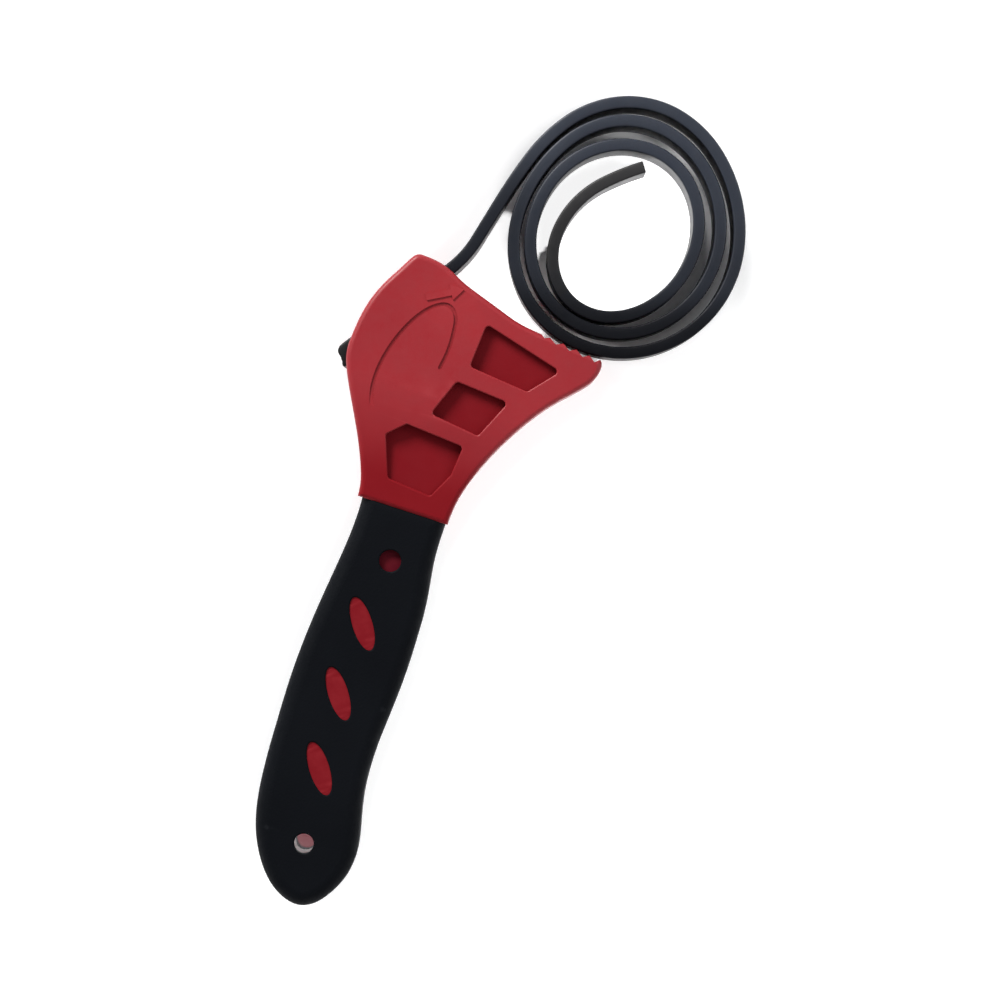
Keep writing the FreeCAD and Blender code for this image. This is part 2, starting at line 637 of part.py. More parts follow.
# ---------------------------------------------------------------- strap pieces
def build_link(number):
    """An arc of the strap: a socket at its origin, a round nose in the next socket.

    The far face is the outer side of the bend, the near face the inner side.
    """
    tag = "%02d" % number
    turn = math.radians(val("bend_turn_" + tag))
    side = 1 if turn > 0 else -1          # 1: bends clockwise
    turn = abs(turn)
    radius = val("bend_radius_" + tag)
    half = val("strap_thick") / 2
    socket_radius = half + val("hinge_gap")
    far, near = radius + half, radius - half
    centre = V(0, -side * radius, 0)

    def on_bend(distance, angle):
        """A point at this distance from the bend's centre, turned from the socket."""
        return centre + V(distance * math.sin(angle), side * distance * math.cos(angle), 0)

    def socket_corner(face):
        """Turn about the bend's centre where the socket meets a face."""
        return math.acos((radius ** 2 + face ** 2 - socket_radius ** 2) / (2 * radius * face))

    def arc(middle, arc_radius, *angles):
        """An arc whose angles are given in the order for a clockwise bend."""
        return Part.ArcOfCircle(Part.Circle(middle, V(0, 0, 1), arc_radius), *angles[::side])

    far_turn, near_turn = socket_corner(far), socket_corner(near)
    far_corner, near_corner = on_bend(far, far_turn), on_bend(near, near_turn)
    end_angle = side * (math.pi / 2 - turn)

    body = new_body("strap_" + tag)
    sketch = new_sketch(body, "Profile_" + tag)
    # Geometry 0 is the far face, 1 the near face, 2 the socket, 3 the outer end.
    add_curves(sketch, [
        arc(centre, far, end_angle, side * (math.pi / 2 - far_turn)),
        arc(centre, near, end_angle, side * (math.pi / 2 - near_turn)),
        arc(V(0, 0, 0), socket_radius, math.atan2(near_corner.y, near_corner.x),
            math.atan2(far_corner.y, far_corner.x))])
    # Point numbers of an arc's first and second given angle.
    first, second = (1, 2) if side > 0 else (2, 1)

    sketch.addConstraint(Constraint("Coincident", 1, 3, 0, 3))
    sketch.addConstraint(Constraint("Coincident", 2, 3, -1, 1))
    sketch.addConstraint(Constraint("PointOnObject", 0, 3, -2))
    bend = "Params.bend_radius_" + tag
    lower_to_upper = (0, 3, -1, 1) if side > 0 else (-1, 1, 0, 3)
    bind(sketch, Constraint("DistanceY", *lower_to_upper, radius), bend)
    bind(sketch, Constraint("Radius", 0, far), bend + " + Params.strap_thick / 2")
    bind(sketch, Constraint("Radius", 1, near), bend + " - Params.strap_thick / 2")
    bind(sketch, Constraint("Radius", 2, socket_radius),
         "Params.strap_thick / 2 + Params.hinge_gap")
    sketch.addConstraint(Constraint("Coincident", 0, second, 2, second))
    sketch.addConstraint(Constraint("Coincident", 1, second, 2, first))

    if number < len(LINKS):
        end = on_bend(radius, turn)
        add_curves(sketch, [arc(end, half, side * (-math.pi / 2 - turn), end_angle)])
        sketch.addConstraint(Constraint("Tangent", 0, first, 3, second))
        sketch.addConstraint(Constraint("Tangent", 1, first, 3, first))
        bind(sketch, Constraint("DistanceX", -1, 1, 3, 3, end.x),
             "%s * sin(abs(Params.bend_turn_%s) * 1deg)" % (bend, tag))
    else:
        # The free tail ends square.
        add_curves(sketch, [Part.LineSegment(on_bend(far, turn), on_bend(near, turn))])
        sketch.addConstraint(Constraint("Coincident", 0, first, 3, 1))
        sketch.addConstraint(Constraint("Coincident", 1, first, 3, 2))
    extrude(body, "Pad", sketch, "Width_" + tag, length="Params.strap_wide")
    place(body, "pivot_x_" + tag, "pivot_y_" + tag, "pivot_dir_" + tag)
    return body


# ---------------------------------------------------------------- build and export
head_core = build_head()
pieces = [head_core, build_sleeve(head_core), build_root()]
pieces += [build_link(number) for number in range(1, len(LINKS) + 1)]
doc.recompute()

for obj in doc.Objects:
    check(obj)
for piece in pieces:
    shape = piece.Shape
    if shape.isNull() or not shape.isValid() or len(shape.Solids) != 1 or shape.Volume <= 0:
        raise RuntimeError("%s is not one valid solid" % piece.Label)

os.makedirs("parts", exist_ok=True)
for piece in pieces:
    piece.Shape.exportStep("parts/%s.step" % piece.Label)
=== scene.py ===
"""A hand tool with a red plastic head, a rubber grip and a coiled moulded rubber strap.

It lies flat in the XY plane, seen from +Z.  The hang hole is at the origin, the handle
runs towards +Y and the strap coils beyond it, round (26, 160) mm.  The strap's width
stands along Z.  Strap and floor shapes are worked out in millimetres; materials, lights
and camera are in metres.
"""

import json
import math

import bmesh
import bpy
import numpy as np
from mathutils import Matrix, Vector


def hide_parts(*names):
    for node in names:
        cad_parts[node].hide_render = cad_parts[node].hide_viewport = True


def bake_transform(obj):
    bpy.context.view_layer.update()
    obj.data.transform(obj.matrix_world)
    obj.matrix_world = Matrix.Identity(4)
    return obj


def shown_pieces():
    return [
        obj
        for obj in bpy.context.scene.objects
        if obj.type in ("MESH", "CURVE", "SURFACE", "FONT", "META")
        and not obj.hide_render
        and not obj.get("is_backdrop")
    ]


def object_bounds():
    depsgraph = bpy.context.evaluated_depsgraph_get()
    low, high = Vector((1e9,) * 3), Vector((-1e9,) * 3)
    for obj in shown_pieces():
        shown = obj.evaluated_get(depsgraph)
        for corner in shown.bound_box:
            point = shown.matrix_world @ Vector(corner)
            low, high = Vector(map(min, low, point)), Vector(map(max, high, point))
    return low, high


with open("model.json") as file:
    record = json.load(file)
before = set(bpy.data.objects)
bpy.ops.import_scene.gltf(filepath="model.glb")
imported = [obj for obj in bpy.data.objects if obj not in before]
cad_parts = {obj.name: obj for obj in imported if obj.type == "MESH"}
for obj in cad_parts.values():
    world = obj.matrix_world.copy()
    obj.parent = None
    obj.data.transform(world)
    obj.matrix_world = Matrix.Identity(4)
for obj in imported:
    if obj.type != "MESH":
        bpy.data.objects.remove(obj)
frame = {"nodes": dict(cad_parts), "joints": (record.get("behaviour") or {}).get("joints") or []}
start_low, start_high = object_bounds()
scene = bpy.context.scene
MM = 0.001

# ------------------------------------------------------------------ driving dimensions
# Strap, in millimetres
HALF_THICK, HALF_WIDTH = 1.4, 8.25
EDGE_ROUND = 0.45        # radius of the strap's long edges
CORNER_STEPS = 3         # segments in each rounded edge
SIDE_STEP = 2.2          # least spacing of points along the section's long sides
RING_STEP = 0.55         # greatest spacing of rings along an arc
ROOT_LENGTH = 31.6       # from the base of the anchored end to the first hinge
ROOT_RINGS = 46          # segments in the anchored end's straight run
BEND_SHARE = 0.97        # part of each half link that bends round a hinge
ROOT_BEND_BEFORE = 3.6   # start of the first bend, before the first hinge
ROOT_BEND_MARGIN = 0.3   # the first bend ends this far short of the middle of link 1
FIRST_HEADING = math.radians(56.0)
MIN_TURN = 0.5           # degrees; a straighter link is given this turn

# Paper, in millimetres
COIL_CENTRE = (25.9, 159.8)
FLOOR_EDGE = 1600.0      # distance of the paper's edges from the axes
FLOOR_MARGIN = 60.0      # one wide cell on each side of the fine grid
FLOOR_STEP = 0.8
GLOW_DISC = 1.2          # a disc of this radius has to fit into a gap for it to glow

# Places in metres
FLOOR_Z = start_low.z - 0.0002
HOLE_RADIUS = 0.006
ROUND_WINDOW = (-0.00121, 0.06879, 0.0)
VIEW_CENTRE = Vector((0.01873, 0.09018, 0.0))
VIEW_TURN = math.radians(18.0)
VIEW_UP = Vector((-math.sin(VIEW_TURN), math.cos(VIEW_TURN), 0))
VIEW_RIGHT = Vector((math.cos(VIEW_TURN), math.sin(VIEW_TURN), 0))


# ------------------------------------------------------------------ node helpers
class Shader:
    """Builds one node tree.  Inputs may be sockets, numbers or tuples."""

    def __init__(self, tree, coords="Object"):
        self.tree = tree
        self.place = self.node("TexCoord").outputs[coords]

    def node(self, kind, inputs=None, **settings):
        node = self.tree.nodes.new("ShaderNode" + kind)
        for key, value in settings.items():
            setattr(node, key, value)
        self.fill(node, inputs or {})
        return node

    def fill(self, node, inputs):
        for key, value in inputs.items():
            socket = node.inputs[key]
            if isinstance(value, bpy.types.NodeSocket):
                self.tree.links.new(value, socket)
            elif isinstance(value, tuple) and socket.type == "RGBA":
                socket.default_value = (*value, 1.0)
            else:
                socket.default_value = value

    def noise(self, scale, detail, rough, vector=None):
        return self.node("TexNoise", {"Vector": vector or self.place, "Scale": scale,
                                      "Detail": detail, "Roughness": rough}).outputs["Fac"]

    def remap(self, value, span=(0.3, 0.7), to=(0.0, 1.0)):
        """Spread a span of values over another; most noise falls in the default span."""
        return self.node("MapRange", {"Value": value, "From Min": span[0], "From Max": span[1],
                                      "To Min": to[0], "To Max": to[1]}).outputs["Result"]

    def smooth(self, value, span):
        """Soft step from 0 at the first value of the span to 1 at the second."""
        return self.node("MapRange", {"Value": value, "From Min": span[0], "From Max": span[1]},
                         interpolation_type="SMOOTHSTEP").outputs["Result"]

    def mix(self, amount, first, second):
        # inputs 6 and 7 and output 2 are the node's colour sockets
        return self.node("Mix", {0: amount, 6: first, 7: second}, data_type="RGBA").outputs[2]

    def mottle(self, pattern, first, second):
        return self.mix(self.remap(pattern), first, second)

    def math(self, operation, *values):
        return self.node("Math", dict(enumerate(values)), operation=operation).outputs[0]

    def scaled(self, value, by):
        return self.math("MULTIPLY", value, by)

    def vector_math(self, operation, *vectors):
        return self.node("VectorMath", dict(enumerate(vectors)), operation=operation).outputs

    def bump(self, height, strength, distance, normal=None):
        inputs = {"Height": height, "Strength": strength, "Distance": distance}
        if normal is not None:
            inputs["Normal"] = normal
        return self.node("Bump", inputs).outputs["Normal"]

    def axis(self, letter):
        return self.node("SeparateXYZ", {0: self.place}).outputs[letter]

    def pointiness(self):
        return self.node("NewGeometry").outputs["Pointiness"]

    def stored(self, name):
        return self.node("Attribute", attribute_name=name).outputs["Fac"]


def new_material(name):
    """A material with its shader builder, Principled node and output node."""
    material = bpy.data.materials.new(name)
    material.use_nodes = True
    material.node_tree.nodes.clear()
    shader = Shader(material.node_tree)
    bsdf = shader.node("BsdfPrincipled")
    output = shader.node("OutputMaterial", {"Surface": bsdf.outputs["BSDF"]})
    return material, shader, bsdf, output


# ------------------------------------------------------------------ materials
def red_plastic():
    """Satin moulded plastic with a fine grain, painted light and shade (paler flat, deeper red
    slope and recesses, darker hollows) and paler rims, part rubbed wear and part painted
    highlight.
    """
    material, shader, bsdf, _ = new_material("head_red_plastic")
    broad = shader.noise(scale=38, detail=3, rough=0.5)
    medium = shader.noise(scale=260, detail=4, rough=0.6)
    fine = shader.noise(scale=3600, detail=2, rough=0.5)
    specks = shader.noise(scale=1300, detail=3, rough=0.7)

    # painted light: the proud flat of the head is painted a paler, hazier red, as lit; the slope
    # towards the grip and the floors of the recesses are painted a deeper red, as in shade
    height = shader.math("ABSOLUTE", shader.axis("Z"))
    wander = shader.remap(broad, to=(-0.0003, 0.0003))
    proud = shader.smooth(shader.math("ADD", height, wander), span=(0.0082, 0.0110))
    shaded_red = shader.mottle(broad, (0.220, 0.0072, 0.0116), (0.250, 0.0090, 0.0142))
    lit_flat_red = shader.mottle(broad, (0.300, 0.014, 0.021), (0.345, 0.019, 0.026))
    # painted shade: the slope is painted darker still close to the grip
    grip_side = shader.smooth(shader.axis("Y"), span=(0.078, 0.070))
    shaded_red = shader.mix(grip_side, shaded_red, (0.200, 0.0072, 0.0125))
    colour = shader.mix(proud, shaded_red, lit_flat_red)

    # the small round window near the collar sits in its own shade
    flat = shader.vector_math("MULTIPLY", shader.place, (1, 1, 0))[0]
    from_window = shader.vector_math("DISTANCE", flat, ROUND_WINDOW)["Value"]
    window = shader.smooth(from_window, span=(0.0045, 0.0030))
    colour = shader.mix(window, colour, (0.105, 0.0050, 0.0130))
    clouds = shader.remap(medium, span=(0.42, 0.8), to=(0, 0.25))
    colour = shader.mix(clouds, colour, (0.25, 0.010, 0.016))

    # rims are a little paler, part rubbed wear and part painted highlight; painted shade darkens
    # the hollows
    pointiness = shader.pointiness()
    rim = shader.smooth(pointiness, span=(0.53, 0.64))
    patchy = shader.remap(medium, span=(0.35, 0.65), to=(0.15, 0.6))
    colour = shader.mix(shader.math("MULTIPLY", rim, patchy), colour, (0.52, 0.055, 0.065))
    hollow_shade = shader.smooth(pointiness, span=(0.49, 0.40))
    colour = shader.mix(shader.scaled(hollow_shade, by=0.45), colour, (0.16, 0.006, 0.011))

    roughness = shader.math("ADD", shader.remap(medium, to=(0.40, 0.50)),
                            shader.remap(specks, to=(-0.03, 0.04)))
    grain = shader.bump(fine, strength=0.22, distance=0.00006)
    shader.fill(bsdf, {
        "Base Color": colour,
        "Roughness": roughness,
        "Specular IOR Level": shader.remap(proud, span=(0, 1), to=(0.09, 0.42)),
        "Normal": shader.bump(medium, strength=0.10, distance=0.00020, normal=grain),
    })
    return material


def grip_rubber():
    """Matte rubber: near black, with a fine pebble and faint dust."""
    material, shader, bsdf, _ = new_material("grip_soft_rubber")
    broad = shader.noise(scale=45, detail=3, rough=0.5)
    medium = shader.noise(scale=420, detail=3, rough=0.6)
    pebble = shader.node("TexVoronoi", {"Scale": 2300, "Vector": shader.place})
    dust = shader.noise(scale=2400, detail=4, rough=0.75)

    colour = shader.mottle(broad, (0.0022, 0.0030, 0.0048), (0.0036, 0.0046, 0.0068))
    dusty = shader.remap(dust, span=(0.68, 0.82), to=(0, 0.30))
    colour = shader.mix(dusty, colour, (0.04, 0.042, 0.045))
    rim = shader.smooth(shader.pointiness(), span=(0.52, 0.62))
    colour = shader.mix(shader.scaled(rim, by=0.30), colour, (0.020, 0.022, 0.026))

    grain = shader.bump(pebble.outputs["Distance"], strength=0.30, distance=0.00010)
    shader.fill(bsdf, {
        "Base Color": colour,
        "Roughness": shader.remap(medium, to=(0.60, 0.74)),
        "Specular IOR Level": 0.08,
        "Normal": shader.bump(medium, strength=0.14, distance=0.00016, normal=grain),
    })
    return material


def strap_rubber():
    """Smooth moulded rubber: blue-grey narrow edges with a painted sheen that fades across the
    coil, wide faces painted darker as shade, with fine lengthwise drag lines, soft sheen."""
    material, shader, bsdf, _ = new_material("strap_moulded_rubber")
    z = shader.axis("Z")
    edge = shader.smooth(shader.math("ABSOLUTE", z), span=(0.0070, 0.0080))
    broad = shader.noise(scale=60, detail=3, rough=0.55)
    medium = shader.noise(scale=520, detail=4, rough=0.6)
    fine = shader.noise(scale=3000, detail=3, rough=0.6)
    # drag lines run along the strap, so they vary only across its width
    across = shader.node("CombineXYZ", {2: shader.scaled(z, by=1.0)}).outputs[0]
    lines = shader.noise(vector=across, scale=2600, detail=3, rough=0.6)

    # painted shade: the wide faces are painted much darker than the narrow edges
    face = shader.mottle(broad, (0.0060, 0.0068, 0.0110), (0.0088, 0.0098, 0.0150))
    edge_tone_and_sheen = shader.mottle(broad, (0.0205, 0.0260, 0.0400), (0.0285, 0.0345, 0.0500))
    patches = shader.remap(medium, span=(0.5, 0.8), to=(0, 0.4))
    edge_tone_and_sheen = shader.mix(patches, edge_tone_and_sheen, (0.014, 0.016, 0.025))
    # painted sheen: the edges are painted paler on the far side of the coil and darker towards
    # the head, as light falls, and the wide faces darker with them; both amounts are stored on
    # the strap's points, so they bend with it
    far = shader.stored("painted_sheen_amount")
    edge_tone_and_sheen = shader.mix(shader.stored("warm_amount"), edge_tone_and_sheen, (0.0255, 0.0250, 0.0262))
    edge_tone_and_sheen = shader.mix(far, (0.0035, 0.0037, 0.0050), edge_tone_and_sheen)
    face = shader.mix(far, (0.0025, 0.0027, 0.0036), face)
    colour = shader.mix(edge, face, edge_tone_and_sheen)
    scuff = shader.noise(scale=1500, detail=4, rough=0.8)
    scuffed = shader.remap(scuff, span=(0.70, 0.85), to=(0, 0.35))
    colour = shader.mix(scuffed, colour, (0.09, 0.095, 0.105))

    roughness = shader.math("ADD", shader.remap(medium, to=(0.36, 0.48)),
                            shader.scaled(edge, by=0.06))
    grain = shader.bump(fine, strength=0.15, distance=0.00005)
    wide_face = shader.math("SUBTRACT", 1.0, edge)
    drag = shader.bump(shader.math("MULTIPLY", lines, wide_face),
                       strength=0.20, distance=0.00008, normal=grain)
    shader.fill(bsdf, {
        "Base Color": colour,
        "Roughness": roughness,
        "Specular IOR Level": shader.remap(far, span=(0, 1), to=(0.10, 0.42)),
        "Normal": shader.bump(medium, strength=0.12, distance=0.00015, normal=drag),
    })
    return material


def floor_paper():
    """White paper with painted light: it glows by the stored painted_glow_amount."""
    material, shader, bsdf, output = new_material("floor_paper")
    colour = shader.mix(shader.noise(scale=30, detail=2, rough=0.5),
                        (0.90, 0.90, 0.90), (0.93, 0.93, 0.93))
    # no glow under the hang hole
    from_hole = shader.vector_math("LENGTH", shader.place)["Value"]
    beyond = shader.math("GREATER_THAN", from_hole, math.hypot(FLOOR_Z, HOLE_RADIUS))
    glow = shader.scaled(shader.stored("painted_glow_amount"), by=0.85)
    shader.fill(bsdf, {
        "Base Color": colour,
        "Emission Color": (1.0, 1.0, 1.0),
        "Emission Strength": shader.math("MULTIPLY", glow, beyond),
        "Roughness": 0.9,
        "Specular IOR Level": 0.1,
    })
    # seen from below the paper is clear, so that the underside of the tool can be looked at
    two_way = shader.node("MixShader", {
        0: shader.node("NewGeometry").outputs["Backfacing"],
        1: bsdf.outputs["BSDF"],
        2: shader.node("BsdfTransparent").outputs["BSDF"],
    })
    shader.fill(output, {"Surface": two_way.outputs[0]})
    return material


RED, GRIP, STRAP = red_plastic(), grip_rubber(), strap_rubber()


def dress(body, material, slot):
    body.data.materials.clear()
    body.data.materials.append(material)


DRESSING = {"head_core": (RED, "head_plastic"), "grip_sleeve": (GRIP, "grip_rubber")}
for name, body in frame["nodes"].items():
    dress(body, *DRESSING.get(name, (STRAP, "strap_rubber")))

# ------------------------------------------------------------------ strap centre line
# The strap's hinges lie on its centre line.  Between two hinges the centre line is an
# arc, and neighbouring arcs share their tangent at the hinge.
# Each link from the first hinge on: (length in mm, clockwise turn in degrees)
LINKS = [
    (8.69, -20.51), (11.61, 0.08), (11.50, 5.20), (11.54, 17.34), (10.40, 23.16), (9.71, 24.04),
    (9.35, 23.13), (10.44, 22.38), (11.56, 19.20), (11.55, 19.72), (11.24, 22.79), (11.05, 23.25),
    (11.11, 23.26), (10.45, 22.76), (10.25, 22.94), (10.21, 23.33), (9.90, 23.32), (10.34, 23.22),
    (11.50, 20.88), (11.53, 19.38), (9.18, 22.37), (7.53, 22.15), (8.75, 24.50), (9.41, 23.01),
    (10.25, 22.70), (10.70, 23.17), (10.15, 22.86), (9.85, 22.93), (9.56, 23.27), (8.70, 23.08),
    (8.05, 22.88), (8.25, 23.69), (8.24, 22.50), (9.51, 23.13), (10.01, 23.57), (8.49, 22.05),
    (8.25, 23.08), (7.91, 24.08), (6.79, 22.73), (6.59, 22.31), (7.75, 23.81), (8.75, 23.46),
    (8.75, 21.40), (9.53, 23.85), (7.46, 23.98), (5.53, 22.41), (4.89, 21.78), (5.56, 24.21),
    (6.27, 24.88), (6.45, 22.32), (7.90, 21.15), (7.70, 18.92), (10.10, 9.60),
]
LINK_NAMES = ["strap_%02d" % number for number in range(1, len(LINKS) + 1)]
PIVOTS = {joint["child"]: np.array(joint["pos_m"][:2]) / MM
          for joint in frame["joints"] if joint["type"] == "hinge"}


def link_arcs():
    """Each link's hinge, heading there, length and clockwise turn in radians."""
    arcs, heading = [], FIRST_HEADING
    for name, (length, turn) in zip(LINK_NAMES, LINKS):
        if abs(turn) < MIN_TURN:
            turn = MIN_TURN
        arcs.append((PIVOTS[name], heading, length, math.radians(turn)))
        heading -= math.radians(turn)
    return arcs


ARCS = link_arcs()


def direction(heading):
    return np.array([math.cos(heading), math.sin(heading)])


def on_arc(k, distance):
    """Point and heading at a distance along link k, counted from 0."""
    pivot, heading, length, turn = ARCS[k]
    turned = turn * distance / length
    radius = length / turn
    chord = 2 * radius * math.sin(turned / 2)
    return pivot + chord * direction(heading - turned / 2), heading - turned


def centre_line(first, last, step=0.4):
    """Points along the links first to last, counted from 1."""
    return np.array([on_arc(k, distance)[0] for k in range(first - 1, last)
                     for distance in np.arange(0, LINKS[k][0], step)])


# ------------------------------------------------------------------ strap pieces
def strap_section(half_thick=HALF_THICK, rounding=EDGE_ROUND):
    """Cross-section as (across, up) pairs, anticlockwise, with rounded corners and
    extra points along the long sides, so that the mesh has no very long thin faces."""
    corners = []
    for quarter, (side, end) in enumerate(((1, 1), (-1, 1), (-1, -1), (1, -1))):
        for i in range(CORNER_STEPS + 1):
            angle = math.radians(90 * quarter + 90 * i / CORNER_STEPS)
            corners.append((side * (half_thick - rounding) + rounding * math.cos(angle),
                            end * (HALF_WIDTH - EDGE_ROUND) + EDGE_ROUND * math.sin(angle)))
    points = []
    for i, corner in enumerate(corners):
        here, there = np.array(corner), np.array(corners[(i + 1) % len(corners)])
        points.append(tuple(here))
        steps = int(np.linalg.norm(there - here) / SIDE_STEP)
        for k in range(1, steps):
            points.append(tuple(here + (there - here) * k / steps))
    return points


SECTION = strap_section()


def ring_at(point, heading, section=SECTION):
    """The section placed at a point, square to the heading; across is to its left."""
    left_x, left_y = -math.sin(heading), math.cos(heading)
    return [(point[0] + left_x * across, point[1] + left_y * across, up)
            for across, up in section]


def arc_rings(k, start, end):
    steps = max(2, int(math.ceil((end - start) / RING_STEP)))
    return [ring_at(*on_arc(k, start + (end - start) * i / steps)) for i in range(steps + 1)]


def tube(name, rings):
    """A closed body through rings of equal point count, smooth but for its two caps."""
    count = len(rings[0])
    points = [tuple(Vector(point) * MM) for ring in rings for point in ring]
    faces = []
    for i in range(len(rings) - 1):
        for k in range(count):
            a, b = i * count + k, i * count + (k + 1) % count
            faces.append((a, b, b + count, a + count))
    faces.append(tuple(range(count))[::-1])
    faces.append(tuple(range((len(rings) - 1) * count, len(rings) * count)))
    mesh = bpy.data.meshes.new(name)
    mesh.from_pydata(points, [], faces)
    mesh.validate()
    mesh.update()
    for face in mesh.polygons:
        face.use_smooth = len(face.vertices) == 4
    body = bpy.data.objects.new(name, mesh)
    scene.collection.objects.link(body)
    edit = bmesh.new()
    edit.from_mesh(mesh)
    bmesh.ops.recalc_face_normals(edit, faces=edit.faces)
    for edge in edit.edges:
        if any(len(face.verts) > 4 for face in edge.link_faces):
            edge.smooth = False
    edit.to_mesh(mesh)
    edit.free()
    return body


def soft_step(value, start, end):
    share = min(1.0, max(0.0, (value - start) / (end - start)))
    return share * share * (3 - 2 * share)


# Painted sheen over the coil grows in steps: (amount, start, end), places in mm up the view
SHEEN_STEPS = ((0.10, 110.0, 121.0), (0.45, 121.0, 134.0), (0.45, 134.0, 160.0))
SHEEN_SIN, SHEEN_COS = 0.309, 0.951   # the view's turn, rounded
SHEEN_SLANT, SHEEN_MIDDLE = 0.12, 74.0  # tilt of the steps, and where it adds nothing
SIDE_LOSS = 0.45         # part of the painted sheen lost low on the coil's -X side
OUTER_SHEEN = 0.34       # least painted sheen on the outermost -X stretch


def store_sheen_and_warm(body, tail):
    """Amount of painted sheen and of warm grey at each point, from its place at rest."""
    edge_tone_and_sheen = body.data.attributes.new("painted_sheen_amount", "FLOAT", "POINT")
    warm = body.data.attributes.new("warm_amount", "FLOAT", "POINT")
    for i, vertex in enumerate(body.data.vertices):
        x, y = vertex.co.x / MM, vertex.co.y / MM
        slant = SHEEN_SLANT * (SHEEN_COS * x + SHEEN_SIN * y - SHEEN_MIDDLE)
        up = -SHEEN_SIN * x + SHEEN_COS * y + slant
        amount = sum(part * soft_step(up, start, end) for part, start, end in SHEEN_STEPS)
        side = soft_step(-x, -6.0, 1.0) * (1 - soft_step(y, 160.0, 176.0))
        outer = OUTER_SHEEN * soft_step(-x, 18.0, 22.0)
        edge_tone_and_sheen.data[i].value = max(amount * (1 - SIDE_LOSS * side), outer)
        warm.data[i].value = max(soft_step(-x, 16.0, 20.0), tail)


def finish_piece(body, k, before, after, *stands_for):
    """Store a piece's painted sheen and warm grey amounts, bake its placement, hide the parts it
    stands for and dress it; before and after are not used.
    """
    store_sheen_and_warm(body, tail=soft_step(k + 1, 46, 50))
    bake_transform(body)
    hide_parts(*stands_for)
    dress(body, STRAP, "strap_rubber")


# Outline of the anchored end's barb and shoulder, in mm:
# (distance along the heading from the base, left bound, right bound)
ROOT_OUTLINE = [
    (-2.45, -2.30, -2.55), (-2.30, -1.95, -2.75), (-2.0, -1.55, -2.88), (-1.6, -0.5, -2.9),
    (-1.45, 0.55, -2.9), (-1.3, 0.95, -2.9), (-1.0, 1.30, -2.9), (-0.6, 1.55, -2.9),
    (-0.2, 1.70, -2.88), (0.1, 1.75, -2.62), (0.5, 1.77, -2.20), (0.9, 1.77, -1.80),
    (1.2, 1.76, -1.52), (1.45, 1.76, -1.41), (1.9, 1.76, -1.40), (2.6, 1.76, -1.40),
    (3.0, 1.74, -1.40), (3.25, 1.66, -1.40), (3.5, 1.48, -1.40), (3.75, 1.40, -1.40),
]


def build_root():
    """Barb and shoulder, straight run and the first half of link 1."""
    along = direction(FIRST_HEADING)
    base = PIVOTS[LINK_NAMES[0]] - along * ROOT_LENGTH
    rings = []
    for distance, left, right in ROOT_OUTLINE:
        half, middle = (left - right) / 2, (left + right) / 2
        section = strap_section(half, min(EDGE_ROUND, half * 0.9))
        rings.append(ring_at(base + along * distance, FIRST_HEADING,
                             [(across + middle, up) for across, up in section]))
    start = ROOT_OUTLINE[-1][0]
    for i in range(1, ROOT_RINGS + 1):
        distance = start + (ROOT_LENGTH - start) * i / ROOT_RINGS
        rings.append(ring_at(base + along * distance, FIRST_HEADING))
    half_link = LINKS[0][0] / 2
    rings += arc_rings(0, 0, half_link)[1:]
    finish_piece(tube("strap_anchor_run", rings), 0, ROOT_BEND_BEFORE,
                 half_link - ROOT_BEND_MARGIN, "strap_root", LINK_NAMES[0])


# Soft arris of the square tail: (distance before the end in mm, scale across, scale up)
TAIL_RINGS = ((0.18, 1.0, 1.0), (0.05, 0.95, 0.992), (0.0, 0.86, 0.976))


def build_run(k):
    """From the middle of link k-1 to the middle of link k, or to the tail's end."""
    previous, length = LINKS[k - 1][0], LINKS[k][0]
    last = k == len(LINKS) - 1
    rings = arc_rings(k - 1, previous / 2, previous)
    rings += arc_rings(k, 0, length if last else length / 2)[1:]
    if last:
        end, heading = on_arc(k, length)
        rings.pop()
        for back, thin, low in TAIL_RINGS:
            section = [(across * thin, up * low) for across, up in SECTION]
            rings.append(ring_at(end - direction(heading) * back, heading, section))
    finish_piece(tube("strap_run_%02d" % (k + 1), rings), k,
                 previous / 2 * BEND_SHARE, length / 2 * BEND_SHARE, LINK_NAMES[k])


build_root()
for k in range(1, len(LINKS)):
    build_run(k)


# ------------------------------------------------------------------ floor
def grid_lines(low, high):
    """Close together over the open patches of the coil, then out to the edge."""
    fine = list(np.arange(low, high + FLOOR_STEP / 2, FLOOR_STEP))
    return np.array([-FLOOR_EDGE, low - FLOOR_MARGIN] + fine + [high + FLOOR_MARGIN, FLOOR_EDGE])


def nearest(points, others):
    """Distance from each point to the nearest of the others, in batches to save memory."""
    distances = np.empty(len(points))
    batch = 500
    for i in range(0, len(points), batch):
        offsets = points[i:i + batch, None, :] - others[None, :, :]
        distances[i:i + batch] = np.sqrt((offsets ** 2).sum(-1).min(1))
    return distances


def inside(points, loop):
    """Even-odd test of the points against a closed loop."""
    hit = np.zeros(len(points), bool)
    for (x0, y0), (x1, y1) in zip(loop, np.roll(loop, -1, axis=0)):
        if y0 != y1:
            crosses = (y0 > points[:, 1]) != (y1 > points[:, 1])
            hit ^= crosses & (points[:, 0] < (x1 - x0) * (points[:, 1] - y0) / (y1 - y0) + x0)
    return hit


